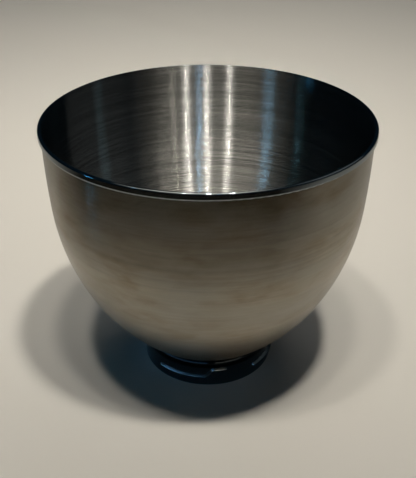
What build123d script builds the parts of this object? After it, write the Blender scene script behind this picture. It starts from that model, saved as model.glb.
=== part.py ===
from build123d import *
import os
from math import atan2, degrees, hypot, radians, sin, cos, sqrt, tan

# Stand mixer bowl: a deep-drawn steel shell with a rolled rim, on a stamped bayonet foot ring.
# Millimetres, +Z up. The origin is the centre of the foot on the surface that the bowl stands on.
# Front is -Y, where one bayonet ramp steps up to its stop.

# Bowl shell. Diameters, heights and arc radii are those of the sheet's outer face.
shell_sheet = 0.8
rim_diameter = 220.0
bowl_height = 187.0
bottom_lift = 15.3
flat_bottom_diameter = 50.0
bottom_arc = 40.0
belly_arc = 158.0
wall_arc = 635.0

# Rim curl: the sheet turns over outwards, comes down and ends just short of the wall.
curl_height = 5.0
curl_gap = 1.0
curl_tail_gap = 0.3

# Foot ring: a skirt, a bend and a flange that follows the bowl's rounded bottom.
foot_diameter = 95.0
foot_sheet = 1.2
foot_bend = 2.2
flange_width = 11.0
flange_seat_gap = 0.05
foot_edge_round = 0.25

# Bayonet ramps, pressed outwards from the skirt. Angles are counted anticlockwise from above.
ramp_count = 4
ramp_rise = 1.5
ramp_side_angle = 56.0
ramp_width = 4.2
ramp_level = 7.2
ramp_sweep = 45.0
riser_width = 4.8
stop_width = 5.2
stop_length = 12.0
stop_level = 12.4
stop_angle = 9.5
ramp_crest_round = 0.5

# Each ramp is made deeper than it shows, so that it bites into the skirt and its crest can be turned true.
ramp_root = 1.0
crest_stock = 0.2
radius_match = 0.01

# Spot welds: shallow electrode marks under the flange.
weld_count = 8
weld_mark_diameter = 5.0
weld_mark_depth = 0.2

# Worked out: the shell's outer face is a chain of tangent arcs in the XZ plane.
curl_inner_radius = curl_gap / 2
curl_outer_radius = curl_inner_radius + shell_sheet
wall_radius = rim_diameter / 2 - shell_sheet - curl_gap
wall_top = bowl_height - curl_height
flat_radius = flat_bottom_diameter / 2
bottom_centre = Vector(flat_radius, bottom_lift + bottom_arc)
wall_centre = Vector(wall_radius - wall_arc, wall_top)

# Worked out: the foot ring's flange runs along a circle just outside the shell's bottom arc.
foot_radius = foot_diameter / 2
flange_arc = bottom_arc + flange_seat_gap
flange_inner_radius = foot_radius - foot_sheet - flange_width


def meeting_centre(start, start_distance, end, end_distance):
    """The point at the given distances from two points, on the side towards the bowl's axis and rim."""
    span = end - start
    along = (start_distance**2 - end_distance**2 + span.length**2) / (2 * span.length)
    across = sqrt(start_distance**2 - along**2)
    unit = span.normalized()
    return start + unit * along + Vector(unit.Y, -unit.X) * across


def on_arc(centre, radius, x):
    """The lowest point of a circle at a distance x from the bowl's axis."""
    return Vector(x, centre.Y - sqrt(radius**2 - (x - centre.X) ** 2))


def outwards(angle):
    """The way out from Z at an angle about it."""
    return Vector(sin(radians(angle)), -cos(radians(angle)), 0)


def radial_plane(angle, distance, level=0.0):
    """A plane that faces outwards at an angle about Z, at a distance from it, with its Y axis up."""
    origin = outwards(angle) * distance + Vector(0, 0, level)
    return Plane(origin=origin, x_dir=outwards(angle + 90), z_dir=outwards(angle))


def section_plane(angle):
    """A plane through Z whose X axis points outwards at an angle about Z, with its Y axis up."""
    return Plane(origin=(0, 0, 0), x_dir=outwards(angle), z_dir=outwards(angle - 90))


def turned_crest(feature, crest_radius, crest_round):
    """Trims a ramp feature to the crest's cylinder and rounds the outline of its crest."""
    Cylinder(crest_radius, bowl_height, mode=Mode.INTERSECT)

    def on_crest(edge):
        points = edge.positions([0, 0.5, 1])
        return all(abs(hypot(point.X, point.Y) - crest_radius) < radius_match for point in points)

    if crest_round:
        outline = feature.edges().filter_by(on_crest).filter_by(GeomType.LINE, reverse=True)
        fillet(outline, crest_round)


def pressed_ramp(face_radius, narrowing=0.0, crest_round=0.0):
    """One bayonet ramp, raised from a cylinder of face_radius: a level rib, a riser and a stop.

    The flanks slope and the ends are round. The narrowing is what the sheet's inner face loses in width.
    """
    flare = tan(radians(90 - ramp_side_angle))
    root_radius = face_radius - ramp_root
    crest_radius = face_radius + ramp_rise
    height = ramp_root + ramp_rise + crest_stock
    root_spread = 2 * ramp_root * flare - narrowing
    rib_root = ramp_width + root_spread
    rib_crest = rib_root - 2 * height * flare
    stop_half = (stop_length - stop_width) / 2
    step = radians(stop_angle) * face_radius

    with BuildPart() as rib:
        with BuildSketch(section_plane(-ramp_sweep)):
            with BuildLine():
                Polyline(
                    (root_radius, ramp_level - rib_root / 2),
                    (root_radius + height, ramp_level - rib_crest / 2),
                    (root_radius + height, ramp_level + rib_crest / 2),
                    (root_radius, ramp_level + rib_root / 2),
                    close=True,
                )
            make_face()
        revolve(axis=Axis.Z, revolution_arc=ramp_sweep)
        with Locations(radial_plane(-ramp_sweep, root_radius, ramp_level)):
            Cone(rib_root / 2, rib_crest / 2, height, arc_size=180, rotation=(0, 0, 90), align=None)
        turned_crest(rib, crest_radius, crest_round)

    with BuildPart() as riser:
        with BuildSketch(radial_plane(stop_angle, root_radius)):
            with BuildLine():
                climb = Line((-step, ramp_level), (-stop_half, stop_level))
            SlotArc(climb, riser_width + root_spread)
        extrude(amount=height, taper=90 - ramp_side_angle)
        turned_crest(riser, crest_radius, crest_round)

    with BuildPart() as stop:
        with BuildSketch(radial_plane(stop_angle, root_radius)):
            with Locations((0, stop_level)):
                SlotCenterToCenter(2 * stop_half, stop_width + root_spread)
        extrude(amount=height, taper=90 - ramp_side_angle)
        turned_crest(stop, crest_radius, crest_round)

    with BuildPart() as ramp:
        add(rib.part)
        add(riser.part)
        add(stop.part)
    return ramp.part


belly_centre = meeting_centre(
    bottom_centre, belly_arc - bottom_arc, wall_centre, wall_arc - belly_arc
)
bottom_end_way = (bottom_centre - belly_centre).normalized()
belly_end_way = (belly_centre - wall_centre).normalized()


def shell_face(depth):
    """Draws the shell sheet's face from the axis to the curl's tail, at a depth from the outer face."""
    flat = Line((0, bottom_lift + depth), (flat_radius, bottom_lift + depth))
    bottom_end = belly_centre + bottom_end_way * (belly_arc - depth)
    bottom = TangentArc(flat @ 1, bottom_end, tangent=flat % 1)
    belly_end = wall_centre + belly_end_way * (wall_arc - depth)
    belly = TangentArc(bottom @ 1, belly_end, tangent=bottom % 1)
    wall = TangentArc(belly @ 1, (wall_radius - depth, wall_top), tangent=belly % 1)
    neck = Line(wall @ 1, (wall_radius - depth, bowl_height - curl_outer_radius))
    roll = JernArc(neck @ 1, (0, 1), curl_inner_radius + depth, -180)
    leg = Line(roll @ 1, ((roll @ 1).X, wall_top + curl_outer_radius))
    hook = JernArc(leg @ 1, (0, -1), curl_inner_radius + depth, -90)
    return Line(hook @ 1, (wall_radius + curl_tail_gap, (hook @ 1).Y))


with BuildPart() as bowl_shell:
    with BuildSketch(Plane.XZ):
        with BuildLine():
            outer_tail = shell_face(0)
            inner_tail = shell_face(shell_sheet)
            Line(outer_tail @ 1, inner_tail @ 1)
            Line((0, bottom_lift), (0, bottom_lift + shell_sheet))
        make_face()
    revolve(axis=Axis.Z)
bowl_shell.part.label = "bowl_shell"

bend_centre = on_arc(bottom_centre, flange_arc + foot_bend, foot_radius - foot_bend)
bend_end_way = (bottom_centre - bend_centre).normalized()
flange_end = on_arc(bottom_centre, flange_arc, flange_inner_radius)
flange_end_way = (flange_end - bottom_centre).normalized()


def ring_face(depth):
    """Draws the ring sheet's face from the floor to the flange's end, at a depth from the outer face."""
    skirt = Line((foot_radius - depth, 0), (foot_radius - depth, bend_centre.Y))
    bend_end = bend_centre + bend_end_way * (foot_bend - depth)
    bend = TangentArc(skirt @ 1, bend_end, tangent=skirt % 1)
    flange_stop = bottom_centre + flange_end_way * (flange_arc + depth)
    return TangentArc(bend @ 1, flange_stop, tangent=bend % 1)


weld_radius = (bend_centre.X + flange_inner_radius) / 2
weld_point = on_arc(bottom_centre, flange_arc + foot_sheet, weld_radius)
weld_slope = degrees(atan2(weld_radius - bottom_centre.X, bottom_centre.Y - weld_point.Y))
inner_narrowing = 2 * foot_sheet * tan(radians(ramp_side_angle) / 2)

outer_ramp = pressed_ramp(foot_radius, crest_round=ramp_crest_round)
ramp_groove = pressed_ramp(foot_radius - foot_sheet, narrowing=inner_narrowing)

with BuildPart() as foot_ring:
    with BuildSketch(Plane.XZ):
        with BuildLine():
            outer_flange = ring_face(0)
            inner_flange = ring_face(foot_sheet)
            Line(outer_flange @ 1, inner_flange @ 1)
            Line((foot_radius, 0), (foot_radius - foot_sheet, 0))
        make_face()
    revolve(axis=Axis.Z)
    fillet(foot_ring.edges().group_by(Axis.Z)[0], foot_edge_round)
    with PolarLocations(0, ramp_count):
        add(outer_ramp)
        add(ramp_groove, mode=Mode.SUBTRACT)
    with PolarLocations(weld_radius, weld_count, start_angle=180 / weld_count):
        with Locations(Location((0, 0, weld_point.Y), (0, -weld_slope, 0))):
            Cylinder(weld_mark_diameter / 2, 2 * weld_mark_depth, mode=Mode.SUBTRACT)
foot_ring.part.label = "foot_ring"

os.makedirs("parts", exist_ok=True)
export_step(bowl_shell.part, "parts/bowl_shell.step")
export_step(foot_ring.part, "parts/foot_ring.step")
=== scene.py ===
"""Stand mixer bowl: brushed stainless finishes, floor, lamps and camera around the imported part."""

from math import cos, pi, radians, sin, sqrt

import bpy
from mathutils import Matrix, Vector

bl_info = {
    "name": "Stand Mixer Bowl",
    "version": (1, 0, 0),
    "blender": (4, 5, 0),
    "location": "View3D > Sidebar > Mixer Bowl",
    "description": "Brushed steel finishes and a plain studio for a stand mixer bowl",
    "category": "Material",
}

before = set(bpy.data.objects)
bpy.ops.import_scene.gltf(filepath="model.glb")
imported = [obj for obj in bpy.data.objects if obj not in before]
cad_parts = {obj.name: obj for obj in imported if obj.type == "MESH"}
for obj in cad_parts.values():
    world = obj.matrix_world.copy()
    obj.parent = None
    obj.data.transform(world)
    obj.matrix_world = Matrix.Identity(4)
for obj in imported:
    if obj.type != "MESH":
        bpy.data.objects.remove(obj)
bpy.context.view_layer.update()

SHELL = "bowl_shell"
FOOT = "foot_ring"
MM = 0.001

# The camera's place, in metres. It looks along +Y and down.
CAMERA_PLACE = (0.0, -0.4734, 0.3741)

# The inner wall's radius, the height on it that the strip lamps are aimed at, and where the rolled rim starts.
WALL_RADIUS = 107.4 * MM
WALL_LEVEL = 120.0 * MM
ROLL_RADIUS = 108.0 * MM
ROLL_LEVEL = 181.5 * MM

# Heights between which the inside gets duller towards the rim.
TOP_DIM_LOW = 90.0 * MM
TOP_DIM_HIGH = 170.0 * MM

# Heights between which the outside darkens towards the foot, and between which the ring's bend turns dark:
# both are painted shade under the bowl.
# The darkness is matched, and stands for the dark reflections under the bowl.
LOWER_SHADE_LOW = 30.0 * MM
LOWER_SHADE_HIGH = 75.0 * MM
BEND_SHADE_LOW = 14.6 * MM
BEND_SHADE_HIGH = 16.2 * MM

# How far one finish fades into the next: by distance at the rolled rim, and by facing between the two sides.
ROLL_EDGE = 0.3 * MM
FACING_EDGE = 0.05

# A quarter turn, which spreads the highlights across the brush lines.
BRUSH_TURN = 0.25

# Noise values between which lines go from none to full, and the steps of finer noise in lines and in marks.
LINE_LOW = 0.3
LINE_HIGH = 0.7
LINE_DETAIL = 1.0
MARK_DETAIL = 2.0

# Rough lines inside: their spacing, counted in brush lines, and the least and most of the roughness.
ROUGH_LINE_SPACING = 3
ROUGH_LINE_LEAST = 0.8
ROUGH_LINE_MOST = 1.3

# Stains outside: how many times as long as tall, finer noise in them, and where they start and are full.
STAIN_FLATNESS = 2.6
STAIN_DETAIL = 4.0
STAIN_GRAIN = 0.6
STAIN_LOW = 0.42
STAIN_HIGH = 0.68

# Haze outside: its scale beside the stains', finer noise in it, where it starts and is full, and its share.
HAZE_SCALE = 0.37
HAZE_DETAIL = 2.0
HAZE_LOW = 0.42
HAZE_HIGH = 0.62
HAZE_MOST = 0.7

# Smears on the foot ring: finer noise in them, and where they start and are full.
SMEAR_DETAIL = 3.0
SMEAR_LOW = 0.35
SMEAR_HIGH = 0.65

# Matt floor paint.
PAINT_ROUGHNESS = 0.9
PAINT_SHINE = 0.03

# Ceiling spots. Their floor light is shaded towards the front, and their bare bulbs show in the steel.
# Name, place, watts on the floor, watts in the steel and colour.
SPOTS = (
    ("spot_left", (0.285, -0.36, 1.90), 3.3, 3.6, "#FFF8EE"),
    ("spot_middle", (0.015, -0.36, 1.90), 1.2, 3.6, "#FFF8EE"),
    ("spot_right", (-0.280, -0.36, 1.90), 1.4, 3.6, "#FFF8EE"),
)
SPOT_SIZE = 0.13
BULB_SIZE = 0.055
SPOT_AIM = (-0.05, 0.42, 0.0)
SPOT_SPREAD = radians(66)

# Large soft lamps: name, place, width, length, watts, colour, and whether the steel or the floor shows it.
SOFT_LAMPS = (
    ("ceiling", (-0.20, -0.10, 2.60), 2.6, 1.2, 7.0, "#FFF3E2", "steel"),
    ("ceiling_middle", (-0.08, -0.10, 2.55), 1.6, 1.2, 8.0, "#FFF3E2", "steel"),
    ("ceiling_side", (2.40, 0.90, 2.20), 2.4, 3.0, 4.4, "#E2E2DC", "steel"),
    ("back_box", (0.3, 1.1, 1.7), 1.2, 1.0, 5.0, "#FFFDFA", "floor"),
)

# A weak, cool fill light from the front left: place, aim, size, watts and colour.
FILL_PLACE = (-1.0, -1.8, 0.7)
FILL_AIM = (0.0, 0.0, 0.0)
FILL_SIZE = 0.8
FILL_WATTS = 1.3
FILL_COLOUR = "#5FB0F0"

# Strip lamps higher than the camera, with grids that keep their light on the wall: they light no floor.
# Name, angle on the inner wall where the strip shows (0 = back, + = right), elevation, width, watts, colour.
STRIPS = (
    ("strip_far_left", -50.0, 30.0, 0.20, 0.001, "#A8D0DC"),
    ("strip_edge", -15.2, 60.0, 0.012, 0.0012, "#FFF6EA"),
    ("strip_pale", -3.7, 60.0, 0.04, 0.003, "#A8D8FF"),
    ("strip_blue", 26.5, 50.0, 0.17, 0.006, "#8CC4E8"),
    ("strip_thin", 41.5, 45.0, 0.006, 0.0005, "#8FD0E0"),
)
STRIP_REACH = 1.2
STRIP_LENGTH = 0.2
STRIP_SPREAD = radians(10)

# A lamp low on the left, which only the rolled rim shows: name, place, aim, width, watts, colour.
RIM_LAMP = ("rim_blue", (-1.30, -0.32, 0.24), (-0.070, -0.080, 0.184), 0.70, 0.008, "#4FA8E0")

# Arcs of small lamps low round the foot ring, which only its pressed edges show.
# Name, first and last angle about Z (0 = front, + = right), lamps, watts of each and colour.
FOOT_FANS = (
    ("foot_blue", -100.0, -4.0, 12, 0.0027, "#84C0F0"),
    ("foot_warm", 16.0, 56.0, 6, 0.0022, "#FFE8D0"),
)
FOOT_AIM = (0.0, 0.0, 8.0 * MM)
FOOT_REACH = 0.9
FOOT_ELEVATION = radians(30)
FOOT_LAMP_WIDTH = 0.13
EDGE_LAMP_LENGTH = 0.08
EDGE_LAMP_SPREAD = radians(8)

# The mat round the bowl, in metres. It darkens from MAT_NEAR to MAT_FAR.
MAT_HOLE = 0.2
MAT_NEAR = 0.20
MAT_FAR = 0.37
MAT_EDGE = 4.0
MAT_LEVEL = 0.002
MAT_SIDES = 64

# The way in which the mat is darkest, the facings between which it gets so, and its darkness elsewhere.
MAT_WAY = (-0.35, -0.94, 0.0)
MAT_ASIDE = -0.1
MAT_AHEAD = 0.5
MAT_LEAST = 0.35


def linear(hex_colour):
    """An sRGB hex colour as linear RGBA."""
    channels = [int(hex_colour[i : i + 2], 16) / 255 for i in (1, 3, 5)]
    return [c / 12.92 if c <= 0.04045 else ((c + 0.055) / 1.055) ** 2.4 for c in channels] + [1.0]


def add_node(tree, kind, inputs=None, **settings):
    """Adds a node with its settings. An input is another node's socket, to link, or a value."""
    node = tree.nodes.new(kind)
    for name, value in settings.items():
        setattr(node, name, value)
    for name, value in (inputs or {}).items():
        if isinstance(value, bpy.types.NodeSocket):
            tree.links.new(value, node.inputs[name])
        else:
            node.inputs[name].default_value = value
    return node


def new_material(name):
    """An empty node material, its tree and its output node."""
    material = bpy.data.materials.new(name)
    material.use_nodes = True
    material.node_tree.nodes.clear()
    output = material.node_tree.nodes.new("ShaderNodeOutputMaterial")
    return material, material.node_tree, output


def maths(tree, operation, *values):
    """The result socket of a Math node."""
    return add_node(tree, "ShaderNodeMath", dict(enumerate(values)), operation=operation).outputs["Value"]


def vectors(tree, operation, *values):
    """The result socket of a Vector Math node that gives a vector."""
    node = add_node(tree, "ShaderNodeVectorMath", dict(enumerate(values)), operation=operation)
    return node.outputs["Vector"]


def dot(tree, first, second):
    """The dot product of two vectors."""
    node = add_node(tree, "ShaderNodeVectorMath", {0: first, 1: second}, operation="DOT_PRODUCT")
    return node.outputs["Value"]


def scaled(tree, vector, factor):
    """A vector socket times a factor."""
    inputs = {0: vector, "Scale": factor}
    return add_node(tree, "ShaderNodeVectorMath", inputs, operation="SCALE").outputs["Vector"]


def step(tree, value, low, high, bottom=0.0, top=1.0):
    """A value mapped from low..high to bottom..top, held at the ends."""
    inputs = {"Value": value, "From Min": low, "From Max": high, "To Min": bottom, "To Max": top}
    return add_node(tree, "ShaderNodeMapRange", inputs).outputs["Result"]


def choose(tree, mask, without, within):
    """One value where a mask is 0 and another where it is 1."""
    return step(tree, mask, 0.0, 1.0, without, within)


def blend(tree, factor, first, second):
    """Two colours mixed."""
    return add_node(tree, "ShaderNodeMix", {0: factor, 6: first, 7: second}, data_type="RGBA").outputs[2]


def noise(tree, vector, scale, detail, grain=0.5):
    """The value of a noise texture."""
    inputs = {"Vector": vector, "Scale": scale, "Detail": detail, "Roughness": grain}
    return add_node(tree, "ShaderNodeTexNoise", inputs).outputs["Fac"]


def object_place(tree):
    """The place on the object."""
    return add_node(tree, "ShaderNodeTexCoord").outputs["Object"]


def height_of(tree, place):
    """The height of a place."""
    return add_node(tree, "ShaderNodeSeparateXYZ", {"Vector": place}).outputs["Z"]


def round_axis(tree, place):
    """The way out from the bowl's axis to a place, and how far it is."""
    level = vectors(tree, "MULTIPLY", place, (1.0, 1.0, 0.0))
    reach = add_node(tree, "ShaderNodeVectorMath", {0: level}, operation="LENGTH").outputs["Value"]
    return vectors(tree, "NORMALIZE", level), reach


class ShellSockets:
    """Sockets for the shell's own directions, and masks for its outside and its rolled rim."""

    def __init__(self, tree):
        self.place = object_place(tree)
        self.way, self.reach = round_axis(tree, self.place)
        self.height = height_of(tree, self.place)
        self.normal = add_node(tree, "ShaderNodeNewGeometry").outputs["Normal"]

        # Grows from the bottom's middle outwards and up the wall: brush lines are counted along it.
        self.run = maths(tree, "ADD", self.reach, self.height)

        # The outside faces out or down, the inside in or up.
        outwards = vectors(tree, "ADD", self.way, (0.0, 0.0, -1.0))
        self.outside = step(tree, dot(tree, outwards, self.normal), -FACING_EDGE, FACING_EDGE)

        past_wall = step(tree, self.reach, ROLL_RADIUS - ROLL_EDGE, ROLL_RADIUS + ROLL_EDGE)
        on_top = step(tree, self.height, ROLL_LEVEL - ROLL_EDGE, ROLL_LEVEL + ROLL_EDGE)
        self.roll = maths(tree, "MULTIPLY", past_wall, on_top)


def line_noise(tree, shell, spacing, arc, detail):
    """Noise drawn out round the bowl: lines one spacing apart that change over an arc of the circle."""
    round_part = scaled(tree, shell.way, 1 / arc)
    up_part = maths(tree, "MULTIPLY", shell.run, 1 / spacing)
    up_vector = add_node(tree, "ShaderNodeCombineXYZ", {"Z": up_part}).outputs["Vector"]
    return noise(tree, vectors(tree, "ADD", round_part, up_vector), 1.0, detail)


def brushed_normal(tree, shell, settings):
    """Brush lines as grooves: across a line the surface tilts up and down, and never sideways.

    The lines are finer than a pixel of the main picture, so they show as spread in the highlights.
    """
    around = vectors(tree, "CROSS_PRODUCT", (0.0, 0.0, 1.0), shell.way)
    up_sheet = vectors(tree, "CROSS_PRODUCT", shell.normal, around)
    waver = line_noise(tree, shell, settings.band_spacing, settings.band_arc, LINE_DETAIL)
    groove = maths(tree, "ADD", maths(tree, "DIVIDE", shell.run, settings.brush_spacing), waver)
    slope = maths(tree, "SUBTRACT", maths(tree, "MULTIPLY", maths(tree, "FRACT", groove), 2.0), 1.0)
    depth = choose(tree, shell.outside, settings.inside_tilt, settings.outside_tilt)
    steepest = maths(tree, "MULTIPLY", depth, maths(tree, "SUBTRACT", 1.0, shell.roll))
    lean = scaled(tree, up_sheet, maths(tree, "MULTIPLY", slope, steepest))
    return vectors(tree, "NORMALIZE", vectors(tree, "ADD", shell.normal, lean))


def brushed_roughness(tree, shell, settings):
    """Roughness by side, with duller and smoother lines inside, and a buffed rim."""
    spacing = ROUGH_LINE_SPACING * settings.brush_spacing
    fine = line_noise(tree, shell, spacing, settings.brush_arc, LINE_DETAIL)
    fine_share = step(tree, fine, LINE_LOW, LINE_HIGH, ROUGH_LINE_LEAST, ROUGH_LINE_MOST)
    share = choose(tree, shell.outside, fine_share, 1.0)
    sheet = choose(tree, shell.outside, settings.inside_roughness, settings.outside_roughness)
    return choose(tree, shell.roll, maths(tree, "MULTIPLY", sheet, share), settings.rim_roughness)


def stained_colour(tree, shell, settings):
    """The outside, with brown stains and grey haze as heat, wash water and wiping leave them."""
    flattened = vectors(tree, "MULTIPLY", shell.place, (1.0, 1.0, STAIN_FLATNESS))
    stain = noise(tree, flattened, 1 / settings.stain_size, STAIN_DETAIL, STAIN_GRAIN)
    haze = noise(tree, flattened, HAZE_SCALE / settings.stain_size, HAZE_DETAIL)
    # The clean outside is darker and browner than the inside: partly a real tint, partly painted shade.
    clean_shaded_colour = linear(settings.outside_shaded_colour)
    brown = blend(tree, step(tree, stain, STAIN_LOW, STAIN_HIGH), clean_shaded_colour, linear(settings.stain_colour))
    haze_share = step(tree, haze, HAZE_LOW, HAZE_HIGH, 0.0, HAZE_MOST)
    return blend(tree, haze_share, brown, linear(settings.haze_colour))


def brushed_colour(tree, shell, settings):
    """The shell's colour: duller in the coarse marks and inside near the rim, and darker outside near the foot
    as painted shade.

    The coarse marks are drawn wide enough to be seen in the main picture.
    """
    outside_shaded_colour = stained_colour(tree, shell, settings)
    sheet = blend(tree, shell.outside, linear(settings.inside_colour), outside_shaded_colour)
    marks = line_noise(tree, shell, settings.band_spacing, settings.band_arc, MARK_DETAIL)
    depth = choose(tree, shell.outside, settings.inside_line_depth, settings.outside_line_depth)
    loss = maths(tree, "MULTIPLY", step(tree, marks, LINE_LOW, LINE_HIGH), depth)
    # The inside gets darker towards the rim.
    dimming_at_top = choose(tree, shell.outside, settings.top_dimming, 1.0)
    dimming = step(tree, shell.height, TOP_DIM_LOW, TOP_DIM_HIGH, 1.0, dimming_at_top)
    # Painted shade: the outside darkens towards the foot.
    underside_shade = step(tree, shell.height, LOWER_SHADE_LOW, LOWER_SHADE_HIGH, settings.lower_shade_share, 1.0)
    tint = choose(tree, shell.outside, 1.0, underside_shade)
    lines = maths(tree, "SUBTRACT", 1.0, loss)
    shade = maths(tree, "MULTIPLY", maths(tree, "MULTIPLY", lines, dimming), tint)
    # The rolled rim has its own colour, darkened as painted shade.
    return blend(tree, shell.roll, scaled(tree, sheet, shade), linear(settings.rim_shaded_colour))


def brushed_stainless(settings):
    """Stainless sheet, brushed round and round: streaky upright highlights, fine level lines, dull stains."""
    material, tree, output = new_material("brushed_stainless")
    shell = ShellSockets(tree)
    inputs = {
        "Base Color": brushed_colour(tree, shell, settings),
        "Metallic": 1.0,
        "Roughness": brushed_roughness(tree, shell, settings),
        "Anisotropic": 1.0,
        "Anisotropic Rotation": BRUSH_TURN,
        "Normal": brushed_normal(tree, shell, settings),
        "Tangent": add_node(tree, "ShaderNodeTangent", direction_type="RADIAL", axis="Z").outputs["Tangent"],
    }
    steel = add_node(tree, "ShaderNodeBsdfPrincipled", inputs)
    tree.links.new(steel.outputs["BSDF"], output.inputs["Surface"])
    return material


def polished_stainless(settings):
    """Stamped stainless, tumbled and wiped: smoother than the shell, with soft smears, and darker as painted
    shade under the bowl.
    """
    material, tree, output = new_material("polished_stainless")
    place = object_place(tree)
    smear = noise(tree, place, 1 / settings.smear_size, SMEAR_DETAIL)
    roughness = step(tree, smear, SMEAR_LOW, SMEAR_HIGH, settings.foot_roughness, settings.smear_roughness)

    # The bend and the flange, next to the welds, are dark: painted shade under the bowl.
    bend_shaded = step(tree, height_of(tree, place), BEND_SHADE_LOW, BEND_SHADE_HIGH)
    colour = blend(tree, bend_shaded, linear(settings.foot_shaded_colour), linear(settings.bend_shade_colour))
    inputs = {"Base Color": colour, "Metallic": 1.0, "Roughness": roughness}
    steel = add_node(tree, "ShaderNodeBsdfPrincipled", inputs)
    tree.links.new(steel.outputs["BSDF"], output.inputs["Surface"])
    return material


def painted_board(look):
    """Plain painted board, matt."""
    material, tree, output = new_material("painted_board")
    inputs = {
        "Base Color": linear(look.floor_colour),
        "Roughness": PAINT_ROUGHNESS,
        "Specular IOR Level": PAINT_SHINE,
    }
    paint = add_node(tree, "ShaderNodeBsdfPrincipled", inputs)
    tree.links.new(paint.outputs["BSDF"], output.inputs["Surface"])
    return material


def wall_point(wall_angle):
    """The point on the inner wall that a strip lamp is aimed at, at an angle about Z from the back."""
    return Vector((WALL_RADIUS * sin(wall_angle), WALL_RADIUS * cos(wall_angle), WALL_LEVEL))


def strip_place(wall_angle, elevation):
    """Where a lamp must be for the brushed wall, at an angle about Z, to send its light to the camera."""
    point = wall_point(wall_angle)
    inwards = Vector((-sin(wall_angle), -cos(wall_angle), 0))
    sideways = Vector((cos(wall_angle), -sin(wall_angle), 0))
    to_camera = (Vector(CAMERA_PLACE) - point).normalized()
    across = -to_camera.dot(sideways)
    ahead = sqrt(cos(elevation) ** 2 - across**2)
    up = Vector((0, 0, sin(elevation)))
    return point + STRIP_REACH * (inwards * ahead + sideways * across + up)


def dark_mat(look):
    """The floor's paint, darkest in front of the bowl and partly dark all round it."""
    material, tree, output = new_material("dark_mat")
    way, reach = round_axis(tree, object_place(tree))
    ahead = step(tree, dot(tree, way, MAT_WAY), MAT_ASIDE, MAT_AHEAD, MAT_LEAST, 1.0)
    dark = maths(tree, "MULTIPLY", ahead, step(tree, reach, MAT_NEAR, MAT_FAR))
    colour = blend(tree, dark, linear(look.floor_colour), linear(look.dark_colour))
    cloth = add_node(tree, "ShaderNodeBsdfDiffuse", {"Color": colour})
    tree.links.new(cloth.outputs["BSDF"], output.inputs["Surface"])
    return material


class BowlFinish(bpy.types.PropertyGroup):
    """Sizes and colours of the bowl's steel."""

    inside_colour: bpy.props.StringProperty(
        name="Inside colour", description="Reflection colour of the brushed inside", default="#C4C6C4"
    )
    # Darker and browner than the inside: partly a real tint, partly painted shade.
    outside_shaded_colour: bpy.props.StringProperty(
        name="Outside shaded colour", description="Reflection colour of the brushed outside", default="#A8A193"
    )
    stain_colour: bpy.props.StringProperty(
        name="Stain colour", description="Reflection colour of the stains on the outside", default="#938670"
    )
    haze_colour: bpy.props.StringProperty(
        name="Haze colour",
        description="Reflection colour of the grey haze on the outside",
        default="#A3A097",
    )
    # The rolled rim's colour is darkened as painted shade, for the dark things it reflects.
    rim_shaded_colour: bpy.props.StringProperty(
        name="Rim shaded colour", description="Reflection colour of the rolled rim", default="#979FA4"
    )
    # The foot ring's colour is darkened as painted shade under the bowl.
    foot_shaded_colour: bpy.props.StringProperty(
        name="Foot shaded colour", description="Reflection colour of the foot ring", default="#525C63"
    )
    # Painted shade on the ring's bend and flange, under the bowl.
    bend_shade_colour: bpy.props.StringProperty(
        name="Bend shade colour",
        description="Reflection colour of the foot ring near its welds",
        default="#14181B",
    )
    inside_roughness: bpy.props.FloatProperty(
        name="Inside roughness",
        description="Roughness of the coarser brushed inside",
        default=0.18,
        min=0.0,
        max=1.0,
    )
    outside_roughness: bpy.props.FloatProperty(
        name="Outside roughness",
        description="Roughness of the finer brushed outside",
        default=0.22,
        min=0.0,
        max=1.0,
    )
    rim_roughness: bpy.props.FloatProperty(
        name="Rim roughness", description="Roughness of the buffed rim", default=0.12, min=0.0, max=1.0
    )
    foot_roughness: bpy.props.FloatProperty(
        name="Foot roughness", description="Roughness of the clean foot ring", default=0.1, min=0.0, max=1.0
    )
    smear_roughness: bpy.props.FloatProperty(
        name="Smear roughness",
        description="Roughness of smears on the foot ring",
        default=0.14,
        min=0.0,
        max=1.0,
    )
    inside_tilt: bpy.props.FloatProperty(
        name="Inside tilt", description="Steepest slope of the inside's brush lines", default=1.4, min=0.0
    )
    outside_tilt: bpy.props.FloatProperty(
        name="Outside tilt", description="Steepest slope of the outside's brush lines", default=0.1, min=0.0
    )
    brush_spacing: bpy.props.FloatProperty(
        name="Brush line spacing",
        description="Distance between brush lines",
        default=0.3 * MM,
        unit="LENGTH",
    )
    brush_arc: bpy.props.FloatProperty(
        name="Brush line arc",
        description="Angle over which a brush line changes",
        default=1.2,
        subtype="ANGLE",
    )
    band_spacing: bpy.props.FloatProperty(
        name="Band spacing",
        description="Distance between the coarse brush marks",
        default=0.8 * MM,
        unit="LENGTH",
    )
    band_arc: bpy.props.FloatProperty(
        name="Band arc", description="Angle over which a coarse mark changes", default=1.6, subtype="ANGLE"
    )
    inside_line_depth: bpy.props.FloatProperty(
        name="Inside mark depth",
        description="Share of the light that the inside's darkest mark loses",
        default=0.45,
    )
    outside_line_depth: bpy.props.FloatProperty(
        name="Outside mark depth",
        description="Share of the light that the outside's darkest mark loses",
        default=0.16,
    )
    top_dimming: bpy.props.FloatProperty(
        name="Top dimming",
        description="Share of the light left where the inside is duller, near the rim",
        default=0.55,
    )
    # Painted shade low on the outside, towards the foot.
    lower_shade_share: bpy.props.FloatProperty(
        name="Lower shade",
        description="Share of the light left low on the outside, near the welds",
        default=0.25,
    )
    stain_size: bpy.props.FloatProperty(
        name="Stain size", description="Size of the stains on the outside", default=28.0 * MM, unit="LENGTH"
    )
    smear_size: bpy.props.FloatProperty(
        name="Smear size",
        description="Size of the smears on the foot ring",
        default=6.0 * MM,
        unit="LENGTH",
    )


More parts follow.
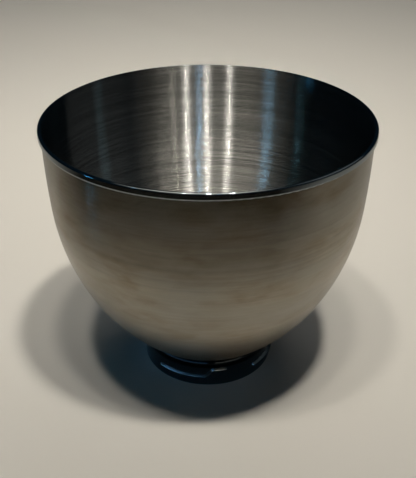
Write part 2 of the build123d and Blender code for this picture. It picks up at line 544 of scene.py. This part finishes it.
class StudioLook(bpy.types.PropertyGroup):
    """Floor, world and camera."""

    floor_colour: bpy.props.StringProperty(
        name="Floor colour", description="Colour of the floor", default="#CBC8C0"
    )
    dark_colour: bpy.props.StringProperty(
        name="Dark colour", description="Colour of the mat where it is darkest", default="#242019"
    )
    floor_width: bpy.props.FloatProperty(
        name="Floor width", description="Width of the square floor", default=8.0, unit="LENGTH"
    )
    world_colour: bpy.props.StringProperty(
        name="World colour", description="Colour of the dim room round the object", default="#6FA8C8"
    )
    world_level: bpy.props.FloatProperty(
        name="World level", description="Strength of the light from all round", default=0.03, min=0.0
    )
    lens: bpy.props.FloatProperty(
        name="Lens", description="Focal length of the camera in millimetres", default=57.99
    )
    pitch: bpy.props.FloatProperty(
        name="Pitch",
        description="Angle by which the camera looks down",
        default=radians(30.58),
        subtype="ANGLE",
    )


class MIXERBOWL_OT_shell(bpy.types.Operator):
    """Gives the bowl shell its brushed steel"""

    bl_idname = "mixerbowl.shell"
    bl_label = "Bowl Shell"

    def execute(self, context):
        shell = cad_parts[SHELL]
        shell.material_slots[0].material = brushed_stainless(context.scene.mixerbowl_finish)
        return {"FINISHED"}


class MIXERBOWL_OT_foot(bpy.types.Operator):
    """Gives the foot ring its polished steel"""

    bl_idname = "mixerbowl.foot"
    bl_label = "Foot Ring"

    def execute(self, context):
        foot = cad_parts[FOOT]
        foot.material_slots[0].material = polished_stainless(context.scene.mixerbowl_finish)
        return {"FINISHED"}


class MIXERBOWL_OT_studio(bpy.types.Operator):
    """Makes the floor, the world, the lamps and the camera"""

    bl_idname = "mixerbowl.studio"
    bl_label = "Studio"

    def execute(self, context):
        look = context.scene.mixerbowl_studio
        self.add_floor(look)
        self.light_world(context.scene, look)
        self.add_spots()
        self.add_soft_lamps()
        self.add_edge_lamp(*RIM_LAMP)
        self.add_foot_lamps()
        for name, wall_angle, elevation, width, watts, colour in STRIPS:
            self.add_strip(name, radians(wall_angle), radians(elevation), width, watts, colour)
        self.add_mat(look)
        self.add_camera(context.scene, look)
        context.scene.view_settings.view_transform = "Standard"
        return {"FINISHED"}

    def add_floor(self, look):
        """A square floor at the height that the foot stands on."""
        half = look.floor_width / 2
        corners = [(-half, -half, 0), (half, -half, 0), (half, half, 0), (-half, half, 0)]
        mesh = bpy.data.meshes.new("floor")
        mesh.from_pydata(corners, [], [(0, 1, 2, 3)])
        floor = bpy.data.objects.new("floor", mesh)
        floor.data.materials.append(painted_board(look))
        bpy.context.scene.collection.objects.link(floor)

    def light_world(self, scene, look):
        """A dim, even room."""
        world = bpy.data.worlds.new("room")
        world.use_nodes = True
        background = world.node_tree.nodes["Background"]
        background.inputs["Color"].default_value = linear(look.world_colour)
        background.inputs["Strength"].default_value = look.world_level
        scene.world = world

    def add_spots(self):
        """The ceiling spots: a shaded lamp that lights the floor, and a bare bulb that the steel shows."""
        for name, place, floor_watts, steel_watts, colour in SPOTS:
            spot = self.add_lamp(name, SPOT_SIZE, SPOT_SIZE, floor_watts, colour)
            self.aim_lamp(spot, Vector(place), Vector(SPOT_AIM))
            spot.data.spread = SPOT_SPREAD
            spot.visible_glossy = False
            bulb = self.add_lamp(name + "_bulb", BULB_SIZE, BULB_SIZE, steel_watts, colour)
            bulb.location = place
            bulb.visible_diffuse = False

    def add_soft_lamps(self):
        """The large soft lamps, and the cool fill that only the floor shows."""
        for name, place, width, length, watts, colour, shown_by in SOFT_LAMPS:
            lamp = self.add_lamp(name, width, length, watts, colour)
            lamp.location = place
            lamp.visible_diffuse = shown_by == "floor"
            lamp.visible_glossy = shown_by == "steel"
        fill = self.add_lamp("cool_fill", FILL_SIZE, FILL_SIZE, FILL_WATTS, FILL_COLOUR)
        self.aim_lamp(fill, Vector(FILL_PLACE), Vector(FILL_AIM))
        fill.visible_glossy = False

    def add_foot_lamps(self):
        """Arcs of small lamps, all at one height and distance from the bowl's axis."""
        ahead = FOOT_REACH * cos(FOOT_ELEVATION)
        for name, first, last, count, watts, colour in FOOT_FANS:
            for turn in range(count):
                angle = radians(first + (last - first) * turn / (count - 1))
                place = (ahead * sin(angle), -ahead * cos(angle), FOOT_REACH * sin(FOOT_ELEVATION))
                self.add_edge_lamp(f"{name}_{turn + 1}", place, FOOT_AIM, FOOT_LAMP_WIDTH, watts, colour)

    def add_mat(self, look):
        """A ring-shaped mat that only the steel shows. It stands for a dark room."""
        ring = []
        for radius in (MAT_HOLE, MAT_EDGE):
            for turn in range(MAT_SIDES):
                angle = 2 * pi * turn / MAT_SIDES
                ring.append((radius * cos(angle), radius * sin(angle), 0))
        faces = []
        for turn in range(MAT_SIDES):
            following = (turn + 1) % MAT_SIDES
            faces.append((turn, turn + MAT_SIDES, following + MAT_SIDES, following))
        mesh = bpy.data.meshes.new("mat")
        mesh.from_pydata(ring, [], faces)
        mat = bpy.data.objects.new("mat", mesh)
        mat.location = (0, 0, MAT_LEVEL)
        mat.data.materials.append(dark_mat(look))
        bpy.context.scene.collection.objects.link(mat)
        mat.visible_camera = False
        mat.visible_diffuse = False
        mat.visible_shadow = False

    def add_strip(self, name, wall_angle, elevation, width, watts, colour):
        """A strip lamp whose streak shows on the inner wall at an angle about Z."""
        holder = self.add_lamp(name, width, STRIP_LENGTH, watts, colour)
        self.aim_lamp(holder, strip_place(wall_angle, elevation), wall_point(wall_angle))
        holder.data.spread = STRIP_SPREAD
        holder.visible_diffuse = False

    def add_edge_lamp(self, name, place, aim, width, watts, colour):
        """A small lamp with a grid, which shows as a thin line on a rounded edge."""
        holder = self.add_lamp(name, width, EDGE_LAMP_LENGTH, watts, colour)
        self.aim_lamp(holder, Vector(place), Vector(aim))
        holder.data.spread = EDGE_LAMP_SPREAD
        holder.visible_diffuse = False

    def aim_lamp(self, holder, place, aim):
        """Puts a lamp at a place and turns it to its aim."""
        holder.location = place
        holder.rotation_euler = (aim - place).to_track_quat("-Z", "Y").to_euler()

    def add_lamp(self, name, width, length, watts, colour):
        """A flat lamp that shines straight down."""
        lamp = bpy.data.lights.new(name, "AREA")
        lamp.shape = "RECTANGLE"
        lamp.size = width
        lamp.size_y = length
        lamp.energy = watts
        lamp.color = linear(colour)[:3]
        holder = bpy.data.objects.new(name, lamp)
        holder.visible_camera = False
        bpy.context.scene.collection.objects.link(holder)
        return holder

    def add_camera(self, scene, look):
        """The camera at the photograph's viewing angle."""
        camera = bpy.data.cameras.new("camera")
        camera.lens = look.lens
        holder = bpy.data.objects.new("camera", camera)
        holder.location = CAMERA_PLACE
        holder.rotation_euler = (radians(90) - look.pitch, 0, 0)
        scene.collection.objects.link(holder)
        scene.camera = holder


class MIXERBOWL_PT_panel(bpy.types.Panel):
    """Lists the bowl's operators and settings"""

    bl_idname = "MIXERBOWL_PT_panel"
    bl_label = "Mixer Bowl"
    bl_space_type = "VIEW_3D"
    bl_region_type = "UI"
    bl_category = "Mixer Bowl"

    def draw(self, context):
        for operator in OPERATORS:
            self.layout.operator(operator.bl_idname)
        for group in (context.scene.mixerbowl_finish, context.scene.mixerbowl_studio):
            for name in group.__annotations__:
                self.layout.prop(group, name)


OPERATORS = (MIXERBOWL_OT_shell, MIXERBOWL_OT_foot, MIXERBOWL_OT_studio)
CLASSES = (BowlFinish, StudioLook, *OPERATORS, MIXERBOWL_PT_panel)


def register():
    for cls in CLASSES:
        bpy.utils.register_class(cls)
    bpy.types.Scene.mixerbowl_finish = bpy.props.PointerProperty(type=BowlFinish)
    bpy.types.Scene.mixerbowl_studio = bpy.props.PointerProperty(type=StudioLook)


def unregister():
    del bpy.types.Scene.mixerbowl_studio
    del bpy.types.Scene.mixerbowl_finish
    for cls in reversed(CLASSES):
        bpy.utils.unregister_class(cls)


def main():
    register()
    bpy.ops.mixerbowl.shell()
    bpy.ops.mixerbowl.foot()
    bpy.ops.mixerbowl.studio()


if __name__ == "__main__":
    main()
